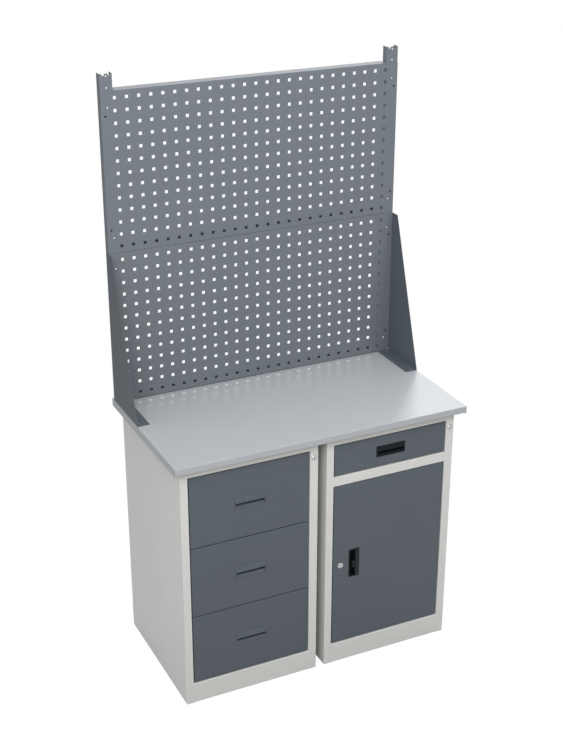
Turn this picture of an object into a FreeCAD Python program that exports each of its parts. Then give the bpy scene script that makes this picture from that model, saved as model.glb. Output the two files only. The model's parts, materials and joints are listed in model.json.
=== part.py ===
import FreeCAD, Part
import math
import os

# Workbench: worktop on two steel pedestals, perforated tool board on two posts.
# Millimetres, +Z up, front faces -Y, origin on the floor under the middle of the worktop.

# ---------------------------------------------------------------- driving dimensions
TOP_W = 1000.0          # worktop width
TOP_D = 552.0           # worktop depth
BENCH_H = 867.0         # top of the worktop
SKIN_T = 1.2            # steel cover of the worktop
BOARD_T = 20.0          # wooden board inside it
SKIRT_SIDE = 27.0       # height of the end skirts
LIP = 15.0              # skirt return under the board

PED_W = 460.0           # pedestal width
PED_Y0 = -244.5         # pedestal front plane
PED_Y1 = 253.5          # pedestal back plane
PED_H = BENCH_H - SKIN_T - BOARD_T
PED_GAP = 30.0          # between the two pedestals
T = 1.0                 # pedestal sheet
STILE_L = 25.0          # left front stile
STILE_R = 28.5          # right front stile
RET = 18.0              # stile return behind the front plane
PLINTH = 72.0           # floor of the pedestal above the ground
RAIL_Z = 812.4          # lower edge of the top rail
MID_Z0 = 666.6          # rail between the small drawer and the door
MID_Z1 = 700.2

FRONT_Y = -243.0        # outer face of drawer fronts and door
FRONT_D = 18.0          # depth of their folded edges
GAP = 3.5               # side gap of fronts
GAP_V = 3.2             # gap between fronts

SLIDE_W = 12.7          # width of a telescopic slide
SLIDE_H = 45.0
SLIDE_Y0 = -218.0
SLIDE_L = 400.0
BOX_Y1 = 215.0          # back of the drawer boxes
BOX_T = 1.0

HANDLE_L = 104.0
HANDLE_H = 38.0
HANDLE_PROUD = 1.7      # rim of the pull
HOOD_PROUD = 5.2        # lower edge of its hood

PANEL_Y = 231.5         # front face of the perforated panels
PANEL_T = 1.2
PANEL_HALF = 499.0
PANEL_H = 499.6
PANEL_D = 41.0          # depth of the panel's top and bottom flanges
PITCH = 38.0
HOLE = 10.0
COLS = 25
ROWS = 13
PANEL_LOW_MID = 1118.8  # height of the panels' centres
PANEL_UP_MID = 1618.8

POST_W = 40.0
POST_D = 26.0
POST_T = 1.5
POST_TOP = 1918.7
POST_OUT = 499.2        # outer face of the posts
HOLE_LINE = 478.5       # line of round holes in posts and panel margins
SCREW_LINE = 486.5      # line of the panel screws

GUS_T = 1.5
GUS_TOP = 1367.5
GUS_TOP_Y = 199.5       # front end of the plate's top edge
GUS_BOT_Y = 36.0        # front end of the plate at the worktop
GUS_FOOT_Y = 38.0
GUS_BACK_Y = 250.0
GUS_FOOT_W = 41.5

V = FreeCAD.Vector
os.makedirs("parts", exist_ok=True)
OUT = {}


# ---------------------------------------------------------------- helpers
def box(x0, x1, y0, y1, z0, z1):
    return Part.makeBox(x1 - x0, y1 - y0, z1 - z0, V(x0, y0, z0))


def cyl(axis, c, r, a, b):
    d = {"x": V(1, 0, 0), "y": V(0, 1, 0), "z": V(0, 0, 1)}[axis]
    p = {"x": V(a, c[0], c[1]), "y": V(c[0], a, c[1]), "z": V(c[0], c[1], a)}[axis]
    return Part.makeCylinder(r, b - a, p, d)


def place(axis, w, u, v):
    if axis == "x":
        return V(w, u, v)
    if axis == "y":
        return V(u, w, v)
    return V(u, v, w)


def rounded(points, radii):
    """Closed outline with arcs at its corners, as ('line', a, b) and ('arc', a, m, b) in 2D."""
    n = len(points)
    cuts = []
    for i in range(n):
        p, q, s = points[i - 1], points[i], points[(i + 1) % n]
        r = radii[i]
        ax, ay = p[0] - q[0], p[1] - q[1]
        bx, by = s[0] - q[0], s[1] - q[1]
        la, lb = math.hypot(ax, ay), math.hypot(bx, by)
        ax, ay, bx, by = ax / la, ay / la, bx / lb, by / lb
        cosang = max(-1.0, min(1.0, ax * bx + ay * by))
        half = math.acos(cosang) / 2.0
        if r < 1e-6 or abs(half - math.pi / 2) < 1e-6:
            cuts.append((q, None, q))
            continue
        d = r / math.tan(half)
        a = (q[0] + ax * d, q[1] + ay * d)
        b = (q[0] + bx * d, q[1] + by * d)
        mx, my = ax + bx, ay + by
        ml = math.hypot(mx, my)
        h = r / math.sin(half)
        c = (q[0] + mx / ml * h, q[1] + my / ml * h)
        m = (c[0] - mx / ml * r, c[1] - my / ml * r)
        cuts.append((a, m, b))
    out = []
    for i in range(n):
        a, m, b = cuts[i]
        if m is not None:
            out.append(("arc", a, m, b))
        nxt = cuts[(i + 1) % n][0]
        if math.hypot(nxt[0] - b[0], nxt[1] - b[1]) > 1e-6:
            out.append(("line", b, nxt))
    return out


def prism(axis, w0, w1, points, radii=None):
    radii = radii or [0.0] * len(points)
    edges = []
    for e in rounded(points, radii):
        if e[0] == "line":
            edges.append(Part.makeLine(place(axis, w0, *e[1]), place(axis, w0, *e[2])))
        else:
            edges.append(Part.Arc(place(axis, w0, *e[1]), place(axis, w0, *e[2]), place(axis, w0, *e[3])).toShape())
    face = Part.Face(Part.Wire(edges))
    d = place(axis, w1 - w0, 0, 0)
    return face.extrude(d)


def sheet(axis, w0, w1, line, t, side, r_in=0.8, radii=None):
    """Folded sheet: line is one face as an open polyline, side +1 puts the metal on its left."""
    n = len(line)
    dirs = []
    for i in range(n - 1):
        dx, dy = line[i + 1][0] - line[i][0], line[i + 1][1] - line[i][1]
        length = math.hypot(dx, dy)
        dirs.append((dx / length, dy / length))
    off = []
    for i in range(n):
        if i == 0:
            nx, ny = -dirs[0][1] * side, dirs[0][0] * side
            off.append((line[0][0] + nx * t, line[0][1] + ny * t))
        elif i == n - 1:
            nx, ny = -dirs[-1][1] * side, dirs[-1][0] * side
            off.append((line[-1][0] + nx * t, line[-1][1] + ny * t))
        else:
            a, b = dirs[i - 1], dirs[i]
            na = (-a[1] * side, a[0] * side)
            nb = (-b[1] * side, b[0] * side)
            k = t / (1.0 + na[0] * nb[0] + na[1] * nb[1])
            off.append((line[i][0] + (na[0] + nb[0]) * k, line[i][1] + (na[1] + nb[1]) * k))
    ra, rb = [0.0] * n, [0.0] * n
    for i in range(1, n - 1):
        a, b = dirs[i - 1], dirs[i]
        turn = (a[0] * b[1] - a[1] * b[0]) * side
        r = radii[i] if radii else r_in
        if turn > 0:
            ra[i], rb[i] = r + t, r
        else:
            ra[i], rb[i] = r, r + t
    pts = list(line) + off[::-1]
    rr = ra + rb[::-1]
    return prism(axis, w0, w1, pts, rr)


def fuse(*shapes):
    s = shapes[0]
    if len(shapes) > 1:
        s = s.fuse(list(shapes[1:]))
    return s.removeSplitter()


def one(shape):
    """A single clean solid."""
    solids = shape.Solids
    if len(solids) != 1:
        raise RuntimeError("expected one solid, got %d" % len(solids))
    return solids[0]


def fillet_where(shape, test, r):
    edges = [e for e in shape.Edges if test(e)]
    return shape.makeFillet(r, edges)


def along(e, axis):
    if not isinstance(e.Curve, Part.Line):
        return False
    d = e.Vertexes[1].Point.sub(e.Vertexes[0].Point)
    d.normalize()
    return abs({"x": d.x, "y": d.y, "z": d.z}[axis]) > 0.999999


def near(a, b, tol=1e-4):
    return abs(a - b) < tol


def put(name, *solids):
    OUT[name] = list(solids)


def mirror_x(s, x=0.0):
    return s.mirror(V(x, 0, 0), V(1, 0, 0))


def pan_screw(axis, c, head_r, head_h, r, a, b, up=True):
    """Screw along an axis: head from a-head_h to a, shank from a to b (or reversed)."""
    if up:
        head = cyl(axis, c, head_r, a - head_h, a)
        edge = a - head_h
        shank = cyl(axis, c, r, a, b)
    else:
        head = cyl(axis, c, head_r, a, a + head_h)
        edge = a + head_h
        shank = cyl(axis, c, r, b, a)
    rim = [e for e in head.Edges if isinstance(e.Curve, Part.Circle)
           and near({"x": e.Curve.Center.x, "y": e.Curve.Center.y, "z": e.Curve.Center.z}[axis], edge)]
    head = head.makeFillet(min(head_h * 0.55, head_r * 0.4), rim)
    cross_w, cross_l, deep = head_r * 0.22, head_r * 1.0, head_h * 0.55
    lo, hi = (edge - 1.0, edge + deep) if up else (edge - deep, edge + 1.0)
    cx, cy = c
    for su, sv in ((cross_l, cross_w), (cross_w, cross_l)):
        if axis == "z":
            head = head.cut(box(cx - su / 2, cx + su / 2, cy - sv / 2, cy + sv / 2, lo, hi))
        elif axis == "y":
            head = head.cut(box(cx - su / 2, cx + su / 2, lo, hi, cy - sv / 2, cy + sv / 2))
    return one(fuse(head, shank))


def hexagon(axis, c, flat, a, b, bore):
    r = flat / math.sqrt(3.0)
    pts = [(c[0] + r * math.cos(math.radians(60 * i + 30)), c[1] + r * math.sin(math.radians(60 * i + 30))) for i in range(6)]
    return prism(axis, a, b, pts).cut(cyl(axis, c, bore, a - 1, b + 1))


# ---------------------------------------------------------------- worktop
hw, hd = TOP_W / 2, TOP_D / 2
z_low = BENCH_H - SKIN_T - BOARD_T - SKIN_T
skin = sheet("x", -hw, hw,
             [(-hd + LIP, z_low), (-hd, z_low), (-hd, BENCH_H), (hd, BENCH_H), (hd, z_low), (hd - LIP, z_low)],
             SKIN_T, -1, 0.8)
for s in (-1, 1):
    a, b = sorted((s * (hw - 2.0), s * (hw + 1.0)))
    skin = skin.cut(box(a, b, -hd + SKIN_T, hd - SKIN_T, z_low - 1, z_low + SKIN_T + 0.01))
ends = []
for s in (-1, 1):
    a, b = sorted((s * hw, s * (hw - SKIN_T)))
    ends.append(box(a, b, -hd + 2.0, hd - 2.0, BENCH_H - SKIRT_SIDE, BENCH_H - SKIN_T / 2))
skin = fuse(skin, *ends)
try:
    skin = fillet_where(skin, lambda e: along(e, "y") and near(e.BoundBox.ZMin, BENCH_H) and near(abs(e.BoundBox.XMin), hw), 0.9)
except Exception:
    print("worktop end edges left sharp")
board = box(-hw + SKIN_T + 0.2, hw - SKIN_T - 0.2, -hd + SKIN_T + 0.2, hd - SKIN_T - 0.2, PED_H, BENCH_H - SKIN_T)
board = fillet_where(board, lambda e: along(e, "x"), 1.5)

foot_x = 487.0
foot_ys = (62.0, 142.0, 222.0)
screws = []
cut_board, cut_skin = [], []
for s in (-1, 1):
    for y in foot_ys:
        screws.append(pan_screw("z", (s * foot_x, y), 6.0, 3.2, 3.0, PED_H, BENCH_H + GUS_T))
        cut_board.append(cyl("z", (s * foot_x, y), 3.25, PED_H - 1, BENCH_H))
        cut_skin.append(cyl("z", (s * foot_x, y), 3.25, BENCH_H - SKIN_T - 1, BENCH_H + 1))
ped_screw_xy = []
for x0 in (-hw + 25.0, PED_GAP / 2):
    for dx in (70.0, PED_W - 70.0):
        for y in (-180.0, 190.0):
            ped_screw_xy.append((x0 + dx, y))
for c in ped_screw_xy:
    screws.append(pan_screw("z", c, 6.0, 3.2, 2.5, PED_H - T, PED_H + 16.0))
    cut_board.append(cyl("z", c, 2.55, PED_H - 1, PED_H + 17.0))
board = board.cut(cut_board)
skin = skin.cut(cut_skin)
put("worktop_skin", one(skin))
put("worktop_board", one(board))
put("worktop_screws", *screws)


# ---------------------------------------------------------------- tool board
def panel(mid):
    z0, z1 = mid - PANEL_H / 2, mid + PANEL_H / 2
    y0, y1 = PANEL_Y, PANEL_Y + PANEL_D
    inner = POST_OUT - POST_W - 1.0
    tray = sheet("x", -inner, inner, [(y1, z0 + 26.0), (y1, z0), (y0, z0), (y0, z1), (y1, z1), (y1, z1 - 16.0)],
                 PANEL_T, -1, 0.8)
    wings = []
    for s in (-1, 1):
        a, b = sorted((s * inner, s * PANEL_HALF))
        wings.append(box(a, b, y0, y0 + PANEL_T, z0 + 0.8, z1 - 0.8))
    p = fuse(tray, *wings)
    tools = []
    for s in (-1, 1):
        a, b = sorted((s * (inner - 0.3), s * (inner + 1.5)))
        tools.append(box(a, b, y0 - 1, y1 + 1, z1 - 3.5, z1 + 1))
        tools.append(box(a, b, y0 - 1, y1 + 1, z0 - 1, z0 + 3.5))
        for dz in (-200.0, 200.0):
            tools.append(cyl("y", (s * HOLE_LINE, mid + dz), 2.6, y0 - 1, y0 + 3))
        for dz in (-175.0, 175.0):
            tools.append(cyl("y", (s * SCREW_LINE, mid + dz), 2.1, y0 - 1, y0 + 3))
    x_first = -PITCH * (COLS - 1) / 2
    z_first = mid - PITCH * (ROWS - 1) / 2
    for i in range(COLS):
        for j in range(ROWS):
            x, z = x_first + PITCH * i, z_first + PITCH * j
            tools.append(box(x - HOLE / 2, x + HOLE / 2, y0 - 1, y0 + 3, z - HOLE / 2, z + HOLE / 2))
    return one(p.cut(tools))


put("panel_upper", panel(PANEL_UP_MID))
put("panel_lower", panel(PANEL_LOW_MID))

post_y0 = PANEL_Y + PANEL_T
post_z0 = BENCH_H + GUS_T
holes_z = [POST_TOP - 7.5, POST_TOP - 41.7]
post_r = sheet("z", post_z0, POST_TOP,
               [(POST_OUT - POST_W, post_y0 + POST_D), (POST_OUT - POST_W, post_y0), (POST_OUT, post_y0), (POST_OUT, post_y0 + POST_D)],
               POST_T, 1, 0.8)
cuts = [box(a, b, post_y0 - 1, post_y0 + POST_T + 0.6, POST_TOP - 5.5, POST_TOP + 1)
        for a, b in ((HOLE_LINE - 12.7, HOLE_LINE - 6.3), (HOLE_LINE + 5.2, HOLE_LINE + 13.5))]
for z in holes_z:
    cuts.append(cyl("y", (HOLE_LINE, z), 2.5, post_y0 - 1, post_y0 + 4))
for mid in (PANEL_LOW_MID, PANEL_UP_MID):
    for dz in (-200.0, 200.0):
        cuts.append(cyl("y", (HOLE_LINE, mid + dz), 2.6, post_y0 - 1, post_y0 + 4))
    for dz in (-175.0, 175.0):
        cuts.append(cyl("y", (SCREW_LINE, mid + dz), 2.1, post_y0 - 1, post_y0 + 4))
cuts.append(box(POST_OUT - 0.9, POST_OUT + 1, post_y0 - 1, post_y0 + POST_D + 1, post_z0 - 1, post_z0 + 0.9))
post_r = one(post_r.cut(cuts))
put("post_right", post_r)
put("post_left", one(mirror_x(post_r)))

ang = sheet("y", GUS_BOT_Y, GUS_BACK_Y,
            [(POST_OUT + GUS_T - GUS_FOOT_W, BENCH_H), (POST_OUT + GUS_T, BENCH_H), (POST_OUT + GUS_T, GUS_TOP)],
            GUS_T, 1, 0.8)
outline = prism("x", 400.0, 600.0,
                [(GUS_BOT_Y, BENCH_H - 1), (GUS_BACK_Y + 1, BENCH_H - 1), (GUS_BACK_Y + 1, GUS_TOP + 1),
                 (GUS_TOP_Y, GUS_TOP + 1),
                 (GUS_TOP_Y, GUS_TOP), (GUS_BOT_Y, BENCH_H)])
gus_r = ang.common(outline)
gus_r = gus_r.cut([box(400, POST_OUT - 1.6, GUS_BOT_Y - 5, GUS_FOOT_Y, BENCH_H - 1, BENCH_H + 3),
                   cyl("x", (PANEL_Y - 1.5, BENCH_H + 5.2), 2.5, POST_OUT - 1, POST_OUT + 5)]
                  + [cyl("z", (foot_x, y), 3.05, BENCH_H - 1, BENCH_H + 4) for y in foot_ys])
gus_r = one(gus_r.removeSplitter())
put("gusset_right", gus_r)
put("gusset_left", one(mirror_x(gus_r)))

fasteners = []
for s in (-1, 1):
    for mid in (PANEL_LOW_MID, PANEL_UP_MID):
        for dz in (-175.0, 175.0):
            c = (s * SCREW_LINE, mid + dz)
            fasteners.append(pan_screw("y", c, 2.9, 1.5, 2.0, PANEL_Y, post_y0 + POST_T + 6.0))
            fasteners.append(hexagon("y", c, 7.0, post_y0 + POST_T, post_y0 + POST_T + 3.2, 2.05))
put("panel_fasteners", *fasteners)


# ---------------------------------------------------------------- pedestals
LOCK_DX = STILE_R / 2         # lock axis from the pedestal's right side
LOCK_Z = 787.0
BAR_Y0, BAR_Y1 = -218.0, -216.0
UP_Y = (-205.0, -175.0), (150.0, 180.0)


def carcass(x0, mid_rail):
    """Folded sheet pieces of one pedestal; x0 is its left side."""
    x1 = x0 + PED_W
    y0, y1 = PED_Y0, PED_Y1
    oa, ob = x0 + STILE_L, x1 - STILE_R
    side_l = sheet("z", 0, PED_H, [(x0 + 20, y1), (x0, y1), (x0, y0), (oa, y0), (oa, y0 + T + RET)], T, 1, 0.8,
                   radii=[0, 0.8, 1.4, 0.3, 0])
    side_r = sheet("z", 0, PED_H, [(x1 - 20, y1), (x1, y1), (x1, y0), (ob, y0), (ob, y0 + T + RET)], T, -1, 0.8,
                   radii=[0, 0.8, 1.4, 0.3, 0])
    strip_l = box(x0 + T / 2, x0 + 20, y0 + 3, y1 - 3, 0, T)
    strip_r = box(x1 - 20, x1 - T / 2, y0 + 3, y1 - 3, 0, T)
    flush_z = [(0, PLINTH - 1.6), (RAIL_Z + 1.6, PED_H)] + ([(MID_Z0 + 1.6, MID_Z1 - 1.6)] if mid_rail else [])
    side_l = fuse(side_l, strip_l, *[box(oa - 1.5, oa, y0, y0 + T, a, b) for a, b in flush_z])
    side_r = fuse(side_r, strip_r, *[box(ob, ob + 1.5, y0, y0 + T, a, b) for a, b in flush_z])
    dots = [(y1 - 20.5, 724.5), (y1 - 20.5, 406.0), (y1 - 56.0, 307.0), (PED_Y0 + 199.5, 307.0)]
    side_l = side_l.cut([cyl("x", c, 1.3, x0 - 1, x0 + 3) for c in dots])
    side_r = side_r.cut([cyl("x", c, 1.3, x1 - 3, x1 + 1) for c in dots] +
                        [cyl("y", (x1 - LOCK_DX, LOCK_Z), 8.1, y0 - 1, y0 + 3)])
    back = box(x0 + T + 1.2, x1 - T - 1.2, y1 - 2 * T, y1 - T, 3.0, PED_H - T - 0.4)
    for z in (PED_H * 0.33, PED_H * 0.66):
        back = fuse(back, box(x0 + 24, x1 - 24, y1 - 2 * T - 5.0, y1 - 2 * T, z, z + 1.0),
                    box(x0 + 24, x1 - 24, y1 - 2 * T - 5.0, y1 - 2 * T, z + 29.0, z + 30.0),
                    box(x0 + 24, x1 - 24, y1 - 2 * T - 5.0, y1 - 2 * T - 4.0, z, z + 30.0))
        back = back.cut(box(x0 + 25, x1 - 25, y1 - 2 * T - 4.0, y1, z + 1.0, z + 29.0))
    yb = y1 - 2 * T - 0.2
    base = sheet("x", oa, ob, [(y0 + 20, 0), (y0, 0), (y0, PLINTH), (y0 + RET + T + 0.4, PLINTH)], T, -1, 0.8,
                 radii=[0, 0.8, 1.0, 0])
    floor = box(x0 + T + 0.2, x1 - T - 0.2, y0 + RET + T + 0.4, yb, PLINTH - T, PLINTH)
    fl = [box(x0 + T + 0.2, x0 + 2 * T + 0.2, y0 + 25, yb, PLINTH - 22, PLINTH),
          box(x1 - 2 * T - 0.2, x1 - T - 0.2, y0 + 25, yb, PLINTH - 22, PLINTH),
          box(x0 + T + 0.2, x1 - T - 0.2, yb - T, yb, PLINTH - 22, PLINTH)]
    base = fuse(base, floor, *fl)
    base = base.cut(box(x1 - 28.4, x1 - 2.6, BAR_Y0 - 0.4, BAR_Y1 + 0.4, PLINTH - 3, PLINTH + 1))
    top = sheet("x", oa, ob, [(y0 + RET + T, RAIL_Z), (y0, RAIL_Z), (y0, PED_H), (y0 + RET + T + 0.4, PED_H)], T, -1, 0.8,
                radii=[0, 0.8, 0.8, 0])
    lid = box(x0 + T + 0.2, x1 - T - 0.2, y0 + RET + T + 0.4, yb, PED_H - T, PED_H)
    tf = [box(x0 + T + 0.2, x0 + 2 * T + 0.2, y0 + 25, yb, PED_H - 20, PED_H),
          box(x1 - 2 * T - 0.2, x1 - T - 0.2, y0 + 25, yb, PED_H - 20, PED_H),
          box(x0 + T + 0.2, x1 - T - 0.2, yb - T, yb, PED_H - 20, PED_H)]
    top = fuse(top, lid, *tf)
    top = top.cut([cyl("z", c, 2.7, PED_H - 3, PED_H + 1) for c in ped_screw_xy if x0 < c[0] < x1])
    pieces = {"side_l": one(side_l), "side_r": one(side_r), "back": one(back), "base": one(base), "top": one(top)}
    ups = []
    for ya, yb2 in UP_Y:
        z0, z1 = PLINTH, PED_H - T
        c = sheet("z", z0, z1, [(x0 + T + 1.4, ya), (oa, ya), (oa, yb2), (x0 + T + 1.4, yb2)], 1.5, 1, 0.6)
        ups.append(c)
        c = sheet("z", z0, z1, [(x1 - T - 1.4, ya), (ob, ya), (ob, yb2), (x1 - T - 1.4, yb2)], 1.5, -1, 0.6)
        ups.append(c)
    if mid_rail:
        rail = sheet("x", oa, ob, [(y0 + RET, MID_Z0), (y0, MID_Z0), (y0, MID_Z1), (y0 + RET, MID_Z1)], T, -1, 0.8)
        pieces["mid"] = rail
    return pieces, ups, oa, ob


def slide_set(oa, ob, zc):
    """Members of the pair of telescopic slides at height zc: fixed, middle, inner."""
    res = {"fixed": [], "middle": [], "inner": []}
    y0, y1 = SLIDE_Y0, SLIDE_Y0 + SLIDE_L
    for s, x in ((1, oa), (-1, ob)):
        h = SLIDE_H / 2
        res["fixed"].append(sheet("y", y0, y1, [(x + s * 9.7, zc - h), (x, zc - h), (x, zc + h), (x + s * 9.7, zc + h)],
                                  1.2, -s, 0.8))
        h2 = h - 1.8
        res["middle"].append(sheet("y", y0, y1, [(x + s * 10.5, zc - h2), (x + s * 1.8, zc - h2), (x + s * 1.8, zc + h2), (x + s * 10.5, zc + h2)],
                                   1.2, -s, 0.8))
        h3 = h2 - 1.8
        xb = x + s * SLIDE_W
        res["inner"].append(sheet("y", y0, y1, [(xb - s * 9.1, zc - h3), (xb, zc - h3), (xb, zc + h3), (xb - s * 9.1, zc + h3)],
                                  1.2, s, 0.8))
    return res


# ---------------------------------------------------------------- handles
def handle(cx, cz, vertical=False, lug=False):
    """Recessed pull: bevelled rim, thin sloping hood, deep finger pocket behind an inclined lip."""
    l, h, p = HANDLE_L / 2, HANDLE_H / 2, HANDLE_PROUD
    y = FRONT_Y
    frame = prism("y", y - p, y, [(-l, -h), (l, -h), (l, h), (-l, h)], [2.5] * 4)
    rim = [e for e in frame.Edges if near(e.BoundBox.YMin, y - p) and near(e.BoundBox.YMax, y - p)]
    frame = frame.makeChamfer(0.8, rim)
    body = prism("y", y, y + 16.4, [(-l + 2.6, -h + 1.2), (l - 2.6, -h + 1.2), (l - 2.6, h - 5.0), (-l + 2.6, h - 5.0)], [2.0] * 4)
    hood = prism("x", -l, l, [(y, 17.0), (y - p, 17.0), (y - HOOD_PROUD, 4.3), (y - HOOD_PROUD, 2.5), (y, 2.5)], [0, 2.0, 1.0, 0.4, 0])
    hood = hood.common(prism("z", 0, 20, [(-l + 1.4, y), (-l + 1.4, y - p), (-l + 5.4, y - HOOD_PROUD - 0.1), (l - 5.4, y - HOOD_PROUD - 0.1), (l - 1.4, y - p), (l - 1.4, y)],
                             [0, 0.5, 1.5, 1.5, 0.5, 0]))
    s = fuse(frame, body, hood)
    pocket = prism("x", -l + 3.8, l - 3.8,
                   [(y + 0.4, 2.5), (y + 0.4, 12.6), (y + 15.0, 12.6), (y + 15.0, -16.0), (y + 6.4, -16.0), (y + 5.6, -10.6),
                    (y + 4.4, -10.6), (y - p, -16.6), (y - 8, -16.6), (y - 8, 2.5)],
                   [0.3, 2.0, 3.0, 2.0, 1.0, 0.4, 0.4, 0.5, 0, 0])
    under = prism("x", -l + 6.6, l - 6.6,
                  [(y + 1.0, 2.0), (y - HOOD_PROUD + 1.5, 2.0), (y - HOOD_PROUD + 1.5, 4.0), (y - 0.2, 12.4), (y + 1.0, 12.4)], [0, 0, 0.8, 0, 0])
    s = s.cut([pocket, under])
    if lug:
        tab = prism("y", y - 3.9, y + 1.4, [(-9.0, -8.2), (16.0, -8.2), (16.0, 4.0), (-9.0, 4.0)], [3.0, 3.0, 0, 0])
        tab = tab.cut(box(7.6, 8.8, y - 4.5, y - 3.0, -9, 4))
        s = fuse(s, tab)
    s = one(s.removeSplitter())
    if vertical:
        s.rotate(V(0, 0, 0), V(0, 1, 0), 90)
    s.translate(V(cx, 0, cz))
    return s


def handle_cut(cx, cz, vertical=False):
    l, h = HANDLE_L / 2 - 2.4, HANDLE_H / 2 - 1.0
    b = box(-l, l, FRONT_Y - 5, FRONT_Y + 5, -h, h - 3.6)
    if vertical:
        b.rotate(V(0, 0, 0), V(0, 1, 0), 90)
    b.translate(V(cx, 0, cz))
    return b


def folded_front(xa, xb, za, zb, cuts):
    """Pan: outer sheet with four folded edges, bent corners rounded."""
    y0, y1 = FRONT_Y, FRONT_Y + FRONT_D
    outer = box(xa, xb, y0, y1, za, zb)
    outer = fillet_where(outer, lambda e: near(e.BoundBox.YMin, y0) and near(e.BoundBox.YMax, y0), 1.3)
    pan = outer.cut(box(xa + T, xb - T, y0 + T, y1 + 1, za + T, zb - T))
    return one(pan.cut(cuts).removeSplitter())


def drawer(name, oa, ob, za, zb, box_low, box_high, slide_z, lug_z):
    xa, xb = oa + GAP, ob - GAP
    cx, cz = (oa + ob) / 2, (za + zb) / 2
    put(name + "_front", folded_front(xa, xb, za, zb, [handle_cut(cx, cz)]))
    put(name + "_handle", handle(cx, cz))
    ba, bb = oa + SLIDE_W, ob - SLIDE_W
    yf = FRONT_Y + FRONT_D
    z0, z1 = za + box_low, za + box_high
    body = box(ba, bb, yf, BOX_Y1, z0, z1).cut(box(ba + BOX_T, bb - BOX_T, yf + BOX_T, BOX_Y1 - BOX_T, z0 + BOX_T, z1 + 1))
    cover = box(xa + 1.4, xb - 1.4, yf, yf + BOX_T, za + 1.4, zb - 1.4)
    hems = [box(ba, ba + 8, yf, BOX_Y1, z1 - BOX_T, z1), box(bb - 8, bb, yf, BOX_Y1, z1 - BOX_T, z1),
            box(ba, bb, BOX_Y1 - 8, BOX_Y1, z1 - BOX_T, z1)]
    lx0, lx1 = ob - 10.5, ob - 1.5
    lug = [box(lx0, lx1, yf, -210.5, lug_z, lug_z + 2.0), box(lx0, lx1, -212.5, -210.5, lug_z - 10.0, lug_z + 2.0)]
    s = fuse(body, cover, *hems, *lug)
    put(name + "_box", one(s))
    sl = slide_set(oa, ob, slide_z)
    put(name + "_slide_inner", *sl["inner"])
    put(name + "_slide_middle", *sl["middle"])
    return sl["fixed"]


def lock(prefix, cx, cz, y_face, cam):
    """Cam lock: body with rosette, barrel and nut; plug with key slot and cam. Returns both."""
    rosette = cyl("y", (cx, cz), 10.0, y_face - 2.2, y_face)
    rosette = rosette.makeFillet(1.2, [e for e in rosette.Edges if isinstance(e.Curve, Part.Circle) and near(e.Curve.Center.y, y_face - 2.2)])
    barrel = cyl("y", (cx, cz), 8.0, y_face, -222.5)
    nut = cyl("y", (cx, cz), 10.8, y_face + T, y_face + T + 4.0)
    nut = nut.common(prism("y", y_face + T, y_face + T + 4.0,
                           [(cx + 11.4 * math.cos(math.radians(60 * i)), cz + 11.4 * math.sin(math.radians(60 * i))) for i in range(6)]))
    body = fuse(rosette, barrel, nut).cut(cyl("y", (cx, cz), 5.55, y_face - 5, -220))
    put(prefix + "_body", one(body.removeSplitter()))
    plug = cyl("y", (cx, cz), 5.5, y_face - 2.6, -222.0)
    plug = plug.cut(box(cx - 0.8, cx + 0.8, y_face - 4, y_face + 6, cz - 3.8, cz + 3.8))
    put(prefix + "_plug", one(fuse(plug, *cam)))


def drive_cam(cx, cz):
    """Short cam at the plug's rear with a drive pin in the bar's slot; down-left when unlocked."""
    d = 6.0
    px, pz = cx - d, cz - d
    link = prism("y", -222.0, -219.2, [(cx - 5.0, cz + 5.0), (px - 5.0, pz + 5.0), (px + 3.5, pz - 3.5), (cx + 5.0, cz - 5.0)], [2.5, 3.0, 3.0, 2.5])
    hub = cyl("y", (cx, cz), 6.5, -222.0, -219.2)
    pin = cyl("y", (px, pz), 2.0, -219.3, -213.5)
    return [fuse(link, hub), pin]


def lock_bar(x1, hooks):
    """Flat bar behind the right stile; hooks are the heights of their lower edges."""
    cx = x1 - LOCK_DX
    bar = box(x1 - 28.0, x1 - 3.0, BAR_Y0, BAR_Y1, 46.0, 812.0)
    slot = prism("y", BAR_Y0 - 1, BAR_Y1 + 1, [(cx - 12.0, LOCK_Z - 8.5), (cx - 2.5, LOCK_Z - 8.5), (cx - 2.5, LOCK_Z - 3.5), (cx - 12.0, LOCK_Z - 3.5)], [1.5] * 4)
    tabs = [box(x1 - STILE_R - 6.5, x1 - 26.0, BAR_Y0, BAR_Y1, z, z + 10.0) for z in hooks]
    return one(fuse(bar, *tabs).cut(slot))


# ---------------------------------------------------------------- left pedestal
xl = -hw + 25.0
pcs, ups, la, lb = carcass(xl, False)
put("left_side_outer", pcs["side_l"])
put("left_side_inner", pcs["side_r"])
put("left_back", pcs["back"])
put("left_base", pcs["base"])
put("left_top", pcs["top"])
put("left_uprights", *ups)

span = RAIL_Z - GAP_V - (PLINTH + GAP)
each = (span - 2 * GAP_V) / 3.0
fixed, hooks = [], []
for k, name in enumerate(("drawer_bottom", "drawer_middle", "drawer_top")):
    za = PLINTH + GAP + k * (each + GAP_V)
    lug_z = za + 200.0
    fixed += drawer(name, la, lb, za, za + each, 14.0, 196.0, za + 70.0, lug_z)
    hooks.append(lug_z - 22.5)
put("left_slide_fixed", *fixed)
lock("left_lock", xl + PED_W - LOCK_DX, LOCK_Z, PED_Y0, drive_cam(xl + PED_W - LOCK_DX, LOCK_Z))
put("left_lock_bar", lock_bar(xl + PED_W, hooks))

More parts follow.
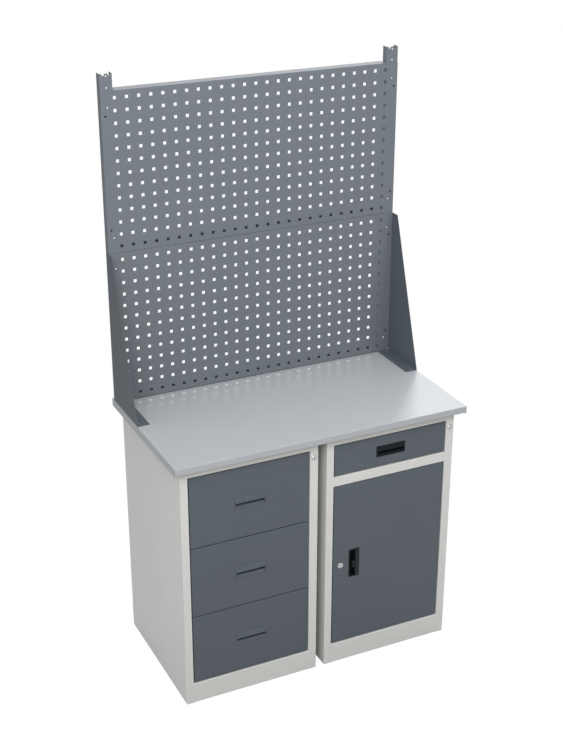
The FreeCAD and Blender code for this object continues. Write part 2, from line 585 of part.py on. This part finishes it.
# ---------------------------------------------------------------- right pedestal
xr = PED_GAP / 2
pcs, ups, ra, rb = carcass(xr, True)
put("right_side_inner", pcs["side_l"])
put("right_side_outer", pcs["side_r"])
put("right_back", pcs["back"])
put("right_base", pcs["base"])
put("right_top", pcs["top"])
put("right_mid_rail", pcs["mid"])
put("right_uprights", *ups)
za, zb = MID_Z1 + GAP, RAIL_Z - GAP_V
lug_z = zb - 8.0
put("right_slide_fixed", *drawer("drawer_small", ra, rb, za, zb, 10.0, 88.0, za + 40.0, lug_z))
lock("right_lock", xr + PED_W - LOCK_DX, LOCK_Z, PED_Y0, drive_cam(xr + PED_W - LOCK_DX, LOCK_Z))
put("right_lock_bar", lock_bar(xr + PED_W, [lug_z - 22.5]))

# cupboard door, hinged on its right side
DOOR_Z0, DOOR_Z1 = PLINTH + GAP + 0.2, MID_Z0 - GAP_V + 0.3
door_a, door_b = ra + GAP, rb - GAP
HINGE_X, HINGE_Y = door_b - 14.0, FRONT_Y + 6.0
door_hx, door_hz = (ra + rb) / 2 - 123.5, (DOOR_Z0 + DOOR_Z1) / 2
lock_x, lock_z = ra + 30.0, 371.0
door = folded_front(door_a, door_b, DOOR_Z0, DOOR_Z1,
                    [handle_cut(door_hx, door_hz, True), cyl("y", (lock_x, lock_z), 8.1, FRONT_Y - 1, FRONT_Y + 3),
                     cyl("z", (HINGE_X, HINGE_Y), 3.2, DOOR_Z0 - 1, DOOR_Z0 + 3), cyl("z", (HINGE_X, HINGE_Y), 3.2, DOOR_Z1 - 3, DOOR_Z1 + 1)])
yl0, yl1 = FRONT_Y + FRONT_D - T, FRONT_Y + FRONT_D
door = one(fuse(door, box(door_a, door_a + 12, yl0, yl1, DOOR_Z0, DOOR_Z1), box(door_b - 12, door_b, yl0, yl1, DOOR_Z0, DOOR_Z1),
                box(door_a, door_b, yl0, yl1, DOOR_Z0, DOOR_Z0 + 12), box(door_a, door_b, yl0, yl1, DOOR_Z1 - 12, DOOR_Z1)))
put("door_panel", door)
put("door_stiffener", sheet("z", DOOR_Z0 + 12, DOOR_Z1 - 12,
                            [((ra + rb) / 2 - 34, FRONT_Y + T), ((ra + rb) / 2 - 20, FRONT_Y + T), ((ra + rb) / 2 - 20, FRONT_Y + 15), ((ra + rb) / 2 + 20, FRONT_Y + 15),
                             ((ra + rb) / 2 + 20, FRONT_Y + T), ((ra + rb) / 2 + 34, FRONT_Y + T)], T, 1, 0.6))
put("door_handle", handle(door_hx, door_hz, True, True))
cam = [fuse(prism("y", -222.0, -219.8, [(lock_x - 6.5, lock_z + 6.5), (lock_x - 6.5, lock_z - 38.0), (lock_x + 6.5, lock_z - 38.0), (lock_x + 6.5, lock_z + 6.5)],
                  [3.0, 4.0, 4.0, 3.0]))]
lock("door_lock", lock_x, lock_z, FRONT_Y, cam)

pins, bushes = [], []
for z_edge, s in ((DOOR_Z0, 1), (DOOR_Z1, -1)):
    z_fix = PLINTH if s > 0 else MID_Z0
    a, b = sorted((z_fix, z_edge + s * 16.0))
    pin = cyl("z", (HINGE_X, HINGE_Y), 3.0, a, b)
    a, b = sorted((z_fix, z_fix + s * 1.0))
    plate = prism("z", a, b, [(HINGE_X - 9, HINGE_Y - 5), (HINGE_X + 13, HINGE_Y - 5), (HINGE_X + 13, HINGE_Y + 8), (HINGE_X - 9, HINGE_Y + 8)], [1.0] * 4)
    pins.append(one(fuse(pin, plate)))
    a, b = sorted((z_edge + s * T, z_edge + s * 14.0))
    bush = cyl("z", (HINGE_X, HINGE_Y), 4.8, a, b).cut(cyl("z", (HINGE_X, HINGE_Y), 3.05, a - 1, b + 1))
    bushes.append(one(bush))
put("hinge_pins", *pins)
put("hinge_bushes", *bushes)

# shelf on four clips
SHELF_Z = 372.0
sa, sb = ra + 1.2, rb - 1.2
sh0, sh1 = -196.0, 246.0
shelf_out = box(sa, sb, sh0, sh1, SHELF_Z - 20, SHELF_Z)
shelf_out = fillet_where(shelf_out, lambda e: near(e.BoundBox.ZMin, SHELF_Z) and near(e.BoundBox.ZMax, SHELF_Z), 1.3)
shelf = shelf_out.cut(box(sa + T, sb - T, sh0 + T, sh1 - T, SHELF_Z - 21, SHELF_Z - T))
put("shelf", one(shelf))
clips = []
for ya, yb in UP_Y:
    for s, x in ((1, ra), (-1, rb)):
        clips.append(sheet("y", ya + 4, yb - 4, [(x, SHELF_Z - 50), (x, SHELF_Z - 20), (x + s * 12, SHELF_Z - 20)], 1.5, -s, 0.6))
put("shelf_clips", *clips)

# ---------------------------------------------------------------- export
total = 0.0
for name in sorted(OUT):
    solids = [s for x in OUT[name] for s in x.Solids]
    shape = solids[0] if len(solids) == 1 else Part.makeCompound(solids)
    for s in solids:
        if not s.isValid() or s.Volume <= 0:
            print("bad solid in", name)
        total += s.Volume
    shape.exportStep("parts/%s.step" % name)
print(len(OUT), "nodes,", round(total / 1e6, 2), "litres")
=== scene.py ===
import json
import math

import bpy
from mathutils import Matrix, Vector

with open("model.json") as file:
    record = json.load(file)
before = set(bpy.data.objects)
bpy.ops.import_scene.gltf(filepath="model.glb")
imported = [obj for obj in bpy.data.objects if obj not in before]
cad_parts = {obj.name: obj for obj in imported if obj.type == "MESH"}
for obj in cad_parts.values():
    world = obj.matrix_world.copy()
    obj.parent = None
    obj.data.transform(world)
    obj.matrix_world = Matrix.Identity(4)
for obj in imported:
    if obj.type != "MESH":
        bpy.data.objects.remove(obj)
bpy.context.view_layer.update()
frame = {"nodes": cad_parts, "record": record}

nodes = frame["nodes"]

scene = bpy.context.scene
scene.view_settings.view_transform = "Standard"
scene.view_settings.look = "None"
scene.view_settings.exposure = 0.0
scene.view_settings.gamma = 1.0


# ------------------------------------------------------------ colours and node helpers
def lin(r, g, b):
    out = []
    for c in (r, g, b):
        c = c / 255.0
        out.append(c / 12.92 if c <= 0.04045 else ((c + 0.055) / 1.055) ** 2.4)
    return tuple(out) + (1.0,)


def scaled(c, k):
    return (min(1.0, c[0] * k), min(1.0, c[1] * k), min(1.0, c[2] * k), 1.0)


def new_material(name):
    m = bpy.data.materials.new(name)
    m.use_nodes = True
    t = m.node_tree
    t.nodes.clear()
    out = t.nodes.new("ShaderNodeOutputMaterial")
    bsdf = t.nodes.new("ShaderNodeBsdfPrincipled")
    t.links.new(bsdf.outputs["BSDF"], out.inputs["Surface"])
    coord = t.nodes.new("ShaderNodeTexCoord")
    return m, t, bsdf, coord


def mapped(t, coord, scale):
    n = t.nodes.new("ShaderNodeMapping")
    n.inputs["Scale"].default_value = scale
    t.links.new(coord.outputs["Object"], n.inputs["Vector"])
    return n.outputs["Vector"]


def noise(t, vector, scale, detail=2.0, rough=0.5):
    n = t.nodes.new("ShaderNodeTexNoise")
    n.inputs["Scale"].default_value = scale
    n.inputs["Detail"].default_value = detail
    n.inputs["Roughness"].default_value = rough
    t.links.new(vector, n.inputs["Vector"])
    return n.outputs["Fac"]


def span(t, value, lo, hi, a=0.3, b=0.7):
    n = t.nodes.new("ShaderNodeMapRange")
    n.inputs["From Min"].default_value = a
    n.inputs["From Max"].default_value = b
    n.inputs["To Min"].default_value = lo
    n.inputs["To Max"].default_value = hi
    t.links.new(value, n.inputs["Value"])
    return n.outputs["Result"]


def two_colours(t, fac, a, b):
    n = t.nodes.new("ShaderNodeMix")
    n.data_type = "RGBA"
    n.inputs["A"].default_value = a
    n.inputs["B"].default_value = b
    t.links.new(fac, n.inputs["Factor"])
    return n.outputs["Result"]


def colour_mix(t, fac, a, b):
    n = t.nodes.new("ShaderNodeMix")
    n.data_type = "RGBA"
    t.links.new(fac, n.inputs["Factor"])
    t.links.new(a, n.inputs["A"])
    t.links.new(b, n.inputs["B"])
    return n.outputs["Result"]


def bump(t, height, strength, distance, normal=None):
    n = t.nodes.new("ShaderNodeBump")
    n.inputs["Strength"].default_value = strength
    n.inputs["Distance"].default_value = distance
    t.links.new(height, n.inputs["Height"])
    if normal is not None:
        t.links.new(normal, n.inputs["Normal"])
    return n.outputs["Normal"]


# ------------------------------------------------------------ materials
def powder_coat(name, colour, rough, spread=0.035, coat=0.0, peel=0.10, mottling=1.0, wave=0.05):
    """Sprayed powder paint on sheet steel: orange peel, faint cloudiness and a fine grain in tone."""
    m, t, bsdf, coord = new_material(name)
    v = mapped(t, coord, (1.0, 1.0, 1.0))
    cloud = noise(t, v, 4.5, 4.0, 0.55)
    fine = noise(t, v, 420.0, 2.0, 0.6)
    base = two_colours(t, span(t, cloud, 0.0, 1.0), scaled(colour, 1 - spread), scaled(colour, 1 + spread))
    grain = two_colours(t, span(t, fine, 0.0, 1.0), scaled(colour, 1 - 0.6 * spread), scaled(colour, 1 + 0.6 * spread))
    half = t.nodes.new("ShaderNodeMix")
    half.data_type = "RGBA"
    half.inputs["Factor"].default_value = 0.45
    t.links.new(base, half.inputs["A"])
    t.links.new(grain, half.inputs["B"])
    t.links.new(half.outputs["Result"], bsdf.inputs["Base Color"])
    smear = noise(t, mapped(t, coord, (1.0, 1.0, 0.35)), 11.0, 5.0, 0.6)
    t.links.new(span(t, smear, rough - 0.04 * mottling, rough + 0.05 * mottling), bsdf.inputs["Roughness"])
    peel_h = noise(t, v, 650.0, 1.5, 0.45)
    wave_h = noise(t, v, 7.0, 1.0, 0.4)
    first = bump(t, wave_h, wave, 0.0012)
    t.links.new(bump(t, peel_h, peel, 0.00009, first), bsdf.inputs["Normal"])
    bsdf.inputs["Specular IOR Level"].default_value = 0.5
    if coat:
        bsdf.inputs["Coat Weight"].default_value = coat
        bsdf.inputs["Coat Roughness"].default_value = 0.20
    return m


def moulded_plastic(name, colour, rough):
    """Injection-moulded plastic with a fine spark-eroded grain."""
    m, t, bsdf, coord = new_material(name)
    v = mapped(t, coord, (1.0, 1.0, 1.0))
    cloud = noise(t, v, 30.0, 3.0, 0.5)
    t.links.new(two_colours(t, span(t, cloud, 0.0, 1.0), scaled(colour, 0.94), scaled(colour, 1.08)), bsdf.inputs["Base Color"])
    grain = noise(t, v, 1500.0, 3.0, 0.7)
    t.links.new(span(t, grain, rough - 0.05, rough + 0.07), bsdf.inputs["Roughness"])
    t.links.new(bump(t, grain, 0.30, 0.00008), bsdf.inputs["Normal"])
    bsdf.inputs["Specular IOR Level"].default_value = 0.35
    return m


def zinc_plate(name, colour, rough):
    """Bright zinc on rolled strip: rolling lines, faint blue and yellow patches."""
    m, t, bsdf, coord = new_material(name)
    lines = noise(t, mapped(t, coord, (220.0, 3.0, 220.0)), 4.0, 5.0, 0.65)
    patch = noise(t, mapped(t, coord, (1.0, 1.0, 1.0)), 26.0, 3.0, 0.5)
    warm = two_colours(t, span(t, patch, 0.0, 1.0), (colour[0] * 1.03, colour[1], colour[2] * 0.90, 1.0), (colour[0] * 0.96, colour[1], min(1.0, colour[2] * 1.05), 1.0))
    t.links.new(warm, bsdf.inputs["Base Color"])
    bsdf.inputs["Metallic"].default_value = 1.0
    t.links.new(span(t, lines, rough - 0.07, rough + 0.09), bsdf.inputs["Roughness"])
    t.links.new(bump(t, lines, 0.16, 0.00006), bsdf.inputs["Normal"])
    return m


def polished(name, colour, rough):
    """Polished plating with hairline scratches."""
    m, t, bsdf, coord = new_material(name)
    scratch = noise(t, mapped(t, coord, (700.0, 700.0, 60.0)), 3.0, 4.0, 0.7)
    haze = noise(t, mapped(t, coord, (1.0, 1.0, 1.0)), 160.0, 2.0, 0.5)
    t.links.new(two_colours(t, span(t, haze, 0.0, 1.0), scaled(colour, 0.93), scaled(colour, 1.0)), bsdf.inputs["Base Color"])
    bsdf.inputs["Metallic"].default_value = 1.0
    t.links.new(span(t, scratch, rough, rough + 0.10), bsdf.inputs["Roughness"])
    t.links.new(bump(t, scratch, 0.05, 0.00003), bsdf.inputs["Normal"])
    return m


def chip_board(name):
    """Raw particle board: flat chips of several tones, pores along the edges."""
    m, t, bsdf, coord = new_material(name)
    vor = t.nodes.new("ShaderNodeTexVoronoi")
    vor.inputs["Scale"].default_value = 260.0
    t.links.new(mapped(t, coord, (1.0, 0.6, 1.8)), vor.inputs["Vector"])
    tone = t.nodes.new("ShaderNodeSeparateColor")
    t.links.new(vor.outputs["Color"], tone.inputs["Color"])
    chips = two_colours(t, tone.outputs["Red"], lin(168, 134, 92), lin(212, 182, 138))
    fibres = noise(t, mapped(t, coord, (30.0, 3.0, 90.0)), 6.0, 4.0, 0.6)
    dark = two_colours(t, span(t, fibres, 0.0, 1.0), lin(150, 116, 78), lin(222, 196, 154))
    both = t.nodes.new("ShaderNodeMix")
    both.data_type = "RGBA"
    both.inputs["Factor"].default_value = 0.4
    t.links.new(chips, both.inputs["A"])
    t.links.new(dark, both.inputs["B"])
    t.links.new(both.outputs["Result"], bsdf.inputs["Base Color"])
    t.links.new(span(t, fibres, 0.72, 0.9), bsdf.inputs["Roughness"])
    t.links.new(bump(t, vor.outputs["Distance"], 0.4, 0.0004), bsdf.inputs["Normal"])
    return m


FRONT = lin(80, 87, 94)
STAND = lin(101, 107, 113)
LIGHT = lin(201, 201, 198)
TOP = lin(160, 163, 166)
BLACK = lin(15, 20, 23)

FLOOR_GLOW, FLOOR_SHADE = 0.97, 0.04
FLOOR_PALE = ((0.37, 0.37, 0.37, 1.0), (0.40, 0.40, 0.40, 1.0))
ROOM_TINT = (0.985, 0.99, 1.0, 1.0)
# direction, narrowness, strength
ROOM = (((-1, 0, 0), 2.0, 1.30), ((1, 0, 0), 2.0, 0.15), ((0, 0, 1), 2.0, 0.66), ((0, 1, 0), 2.0, 0.28))
ROOM_LEVEL = 0.0
SHEEN = (((0.64, 0.64, 0.42), 6.0, 0.9), ((1, 0.35, 0.2), 2.0, 0.5), ((-1, -0.3, 0.2), 3.0, 0.3), ((0, -1, 0.3), 2.0, 0.25))
SHEEN_LEVEL = 0.05

MATERIALS = {
    "worktop_paint": powder_coat("worktop_powder", TOP, 0.42, 0.012, 0.0, 0.02, 0.3, 0.012),
    "pedestal_paint": powder_coat("pedestal_powder", LIGHT, 0.42, 0.018),
    "drawer_box_paint": powder_coat("drawer_box_powder", lin(196, 197, 194), 0.45, 0.02),
    "front_paint": powder_coat("front_powder", FRONT, 0.40, 0.03),
    "stand_paint": powder_coat("stand_powder", STAND, 0.40, 0.03),
    "grey_plastic": moulded_plastic("grey_grained_plastic", FRONT, 0.42),
    "black_plastic": moulded_plastic("black_grained_plastic", BLACK, 0.38),
    "zinc_steel": zinc_plate("zinc_plated_steel", (0.74, 0.75, 0.76, 1.0), 0.30),
    "lock_chrome": polished("polished_chrome", (0.86, 0.87, 0.88, 1.0), 0.07),
    "dark_screw": zinc_plate("blackened_steel", (0.055, 0.055, 0.06, 1.0), 0.42),
    "board_wood": chip_board("particle_board"),
}

for row in frame["record"]["subparts"]:
    obj = nodes[row["node"]]
    material = MATERIALS[row["material_slot"]]
    if not obj.material_slots:
        obj.data.materials.append(material)
    for s in obj.material_slots:
        s.material = material


# ------------------------------------------------------------ stage
def plane(name, size, z):
    mesh = bpy.data.meshes.new(name)
    mesh.from_pydata([(-size, -size, z), (size, -size, z), (size, size, z), (-size, size, z)], [], [(0, 1, 2, 3)])
    obj = bpy.data.objects.new(name, mesh)
    scene.collection.objects.link(obj)
    return obj


floor = plane("floor", 60.0, -0.0002)
mat, tree, shader, where = new_material("pale_floor")
tone = noise(tree, mapped(tree, where, (1.0, 1.0, 1.0)), 1.2, 2.0, 0.5)
pale = two_colours(tree, span(tree, tone, 0.0, 1.0), FLOOR_PALE[0], FLOOR_PALE[1])
tree.links.new(pale, shader.inputs["Base Color"])
shader.inputs["Roughness"].default_value = 0.9
shader.inputs["Specular IOR Level"].default_value = 0.0
glow = tree.nodes.new("ShaderNodeEmission")
glow.inputs["Color"].default_value = (1.0, 1.0, 1.0, 1.0)
glow.inputs["Strength"].default_value = FLOOR_GLOW
faint = tree.nodes.new("ShaderNodeBsdfDiffuse")
faint.inputs["Color"].default_value = (FLOOR_SHADE, FLOOR_SHADE, FLOOR_SHADE, 1.0)
seen = tree.nodes.new("ShaderNodeAddShader")
tree.links.new(glow.outputs["Emission"], seen.inputs[0])
tree.links.new(faint.outputs["BSDF"], seen.inputs[1])
ray = tree.nodes.new("ShaderNodeLightPath")
pick = tree.nodes.new("ShaderNodeMixShader")
tree.links.new(ray.outputs["Is Camera Ray"], pick.inputs["Fac"])
tree.links.new(shader.outputs["BSDF"], pick.inputs[1])
tree.links.new(seen.outputs["Shader"], pick.inputs[2])
tree.links.new(pick.outputs["Shader"], tree.nodes["Material Output"].inputs["Surface"])
floor.data.materials.append(mat)

# white room: light from both sides and above for the paint, a bright wall behind for its sheen
world = bpy.data.worlds.new("studio")
scene.world = world
world.use_nodes = True
wt = world.node_tree
wt.nodes.clear()
w_out = wt.nodes.new("ShaderNodeOutputWorld")
w_seen = wt.nodes.new("ShaderNodeBackground")
w_seen.inputs["Color"].default_value = (1.0, 1.0, 1.0, 1.0)
w_seen.inputs["Strength"].default_value = 1.0
w_light = wt.nodes.new("ShaderNodeBackground")
w_light.inputs["Color"].default_value = ROOM_TINT
w_where = wt.nodes.new("ShaderNodeTexCoord")


def w_math(operation, a, b):
    n = wt.nodes.new("ShaderNodeMath")
    n.operation = operation
    for i, v in enumerate((a, b)):
        if isinstance(v, (int, float)):
            n.inputs[i].default_value = v
        else:
            wt.links.new(v, n.inputs[i])
    return n.outputs[0]


def w_lobe(direction, power, strength):
    """A soft patch of light round one direction of the room."""
    dot = wt.nodes.new("ShaderNodeVectorMath")
    dot.operation = "DOT_PRODUCT"
    wt.links.new(w_where.outputs["Generated"], dot.inputs[0])
    dot.inputs[1].default_value = Vector(direction).normalized()
    return w_math("MULTIPLY", w_math("POWER", w_math("MAXIMUM", dot.outputs["Value"], 0.0), power), strength)


def w_sum(lobes, level):
    total = None
    for lobe in lobes:
        value = w_lobe(*lobe)
        total = w_math("ADD", total if total is not None else level, value)
    return total


w_path = wt.nodes.new("ShaderNodeLightPath")
w_pick = wt.nodes.new("ShaderNodeMix")
w_pick.data_type = "FLOAT"
wt.links.new(w_path.outputs["Is Glossy Ray"], w_pick.inputs["Factor"])
wt.links.new(w_sum(ROOM, ROOM_LEVEL), w_pick.inputs["A"])
wt.links.new(w_sum(SHEEN, SHEEN_LEVEL), w_pick.inputs["B"])
wt.links.new(w_pick.outputs["Result"], w_light.inputs["Strength"])
w_mix = wt.nodes.new("ShaderNodeMixShader")
wt.links.new(w_path.outputs["Is Camera Ray"], w_mix.inputs["Fac"])
wt.links.new(w_light.outputs["Background"], w_mix.inputs[1])
wt.links.new(w_seen.outputs["Background"], w_mix.inputs[2])
wt.links.new(w_mix.outputs["Shader"], w_out.inputs["Surface"])


def soft_box(name, place, target, size, power, colour=(1.0, 1.0, 1.0)):
    data = bpy.data.lights.new(name, "AREA")
    data.shape = "RECTANGLE"
    data.size, data.size_y = size
    data.energy = power
    data.color = colour
    obj = bpy.data.objects.new(name, data)
    obj.location = place
    obj.rotation_mode = "QUATERNION"
    obj.rotation_quaternion = (Vector(target) - Vector(place)).to_track_quat("-Z", "Y")
    obj.visible_camera = False
    scene.collection.objects.link(obj)
    return obj


def far_light(name, azimuth, elevation, spread, strength, colour=(1.0, 1.0, 1.0)):
    """Azimuth 0 shines from the front, 90 from the right, 180 from behind."""
    data = bpy.data.lights.new(name, "SUN")
    data.angle = math.radians(spread)
    data.energy = strength
    data.color = colour
    obj = bpy.data.objects.new(name, data)
    a, e = math.radians(azimuth), math.radians(elevation)
    source = Vector((math.sin(a) * math.cos(e), -math.cos(a) * math.cos(e), math.sin(e)))
    obj.rotation_mode = "QUATERNION"
    obj.rotation_quaternion = (-source).to_track_quat("-Z", "Y")
    scene.collection.objects.link(obj)
    return obj


soft_box("key", (-1.5, -2.5, 2.7), (0.0, 0.0, 0.8), (2.0, 2.0), 73.0)
fill = soft_box("fill", (1.7, -2.5, 2.7), (0.0, 0.0, 0.8), (2.0, 2.0), 33.0)
fill.visible_glossy = False
above = soft_box("above", (0.0, -0.9, 3.2), (0.0, 0.0, 0.8), (2.4, 2.4), 29.0)
above.visible_glossy = False
far_light("behind", 154.0, 40.0, 10.0, 1.10)
soft_box("beside", (2.4, 0.9, 2.5), (0.3, 0.1, 0.87), (2.2, 2.2), 18.0)

# ------------------------------------------------------------ camera
camera_data = bpy.data.cameras.new("camera")
camera_data.lens = 65.083
camera_data.sensor_width = 36.0
camera_data.sensor_fit = "AUTO"
camera_data.clip_start = 0.05
camera_data.clip_end = 200.0
camera = bpy.data.objects.new("camera", camera_data)
scene.collection.objects.link(camera)
right = Vector((0.90174782, -0.43226250, -0.0000577))
down = Vector((-0.17762174, -0.37041715, -0.91172455))
ahead = Vector((0.39408297, 0.82215587, -0.41080208))
turn = Matrix((right, -down, -ahead)).transposed()
camera.matrix_world = Matrix.Translation((-1.72247, -3.54259, 2.7368)) @ turn.to_4x4()
scene.camera = camera
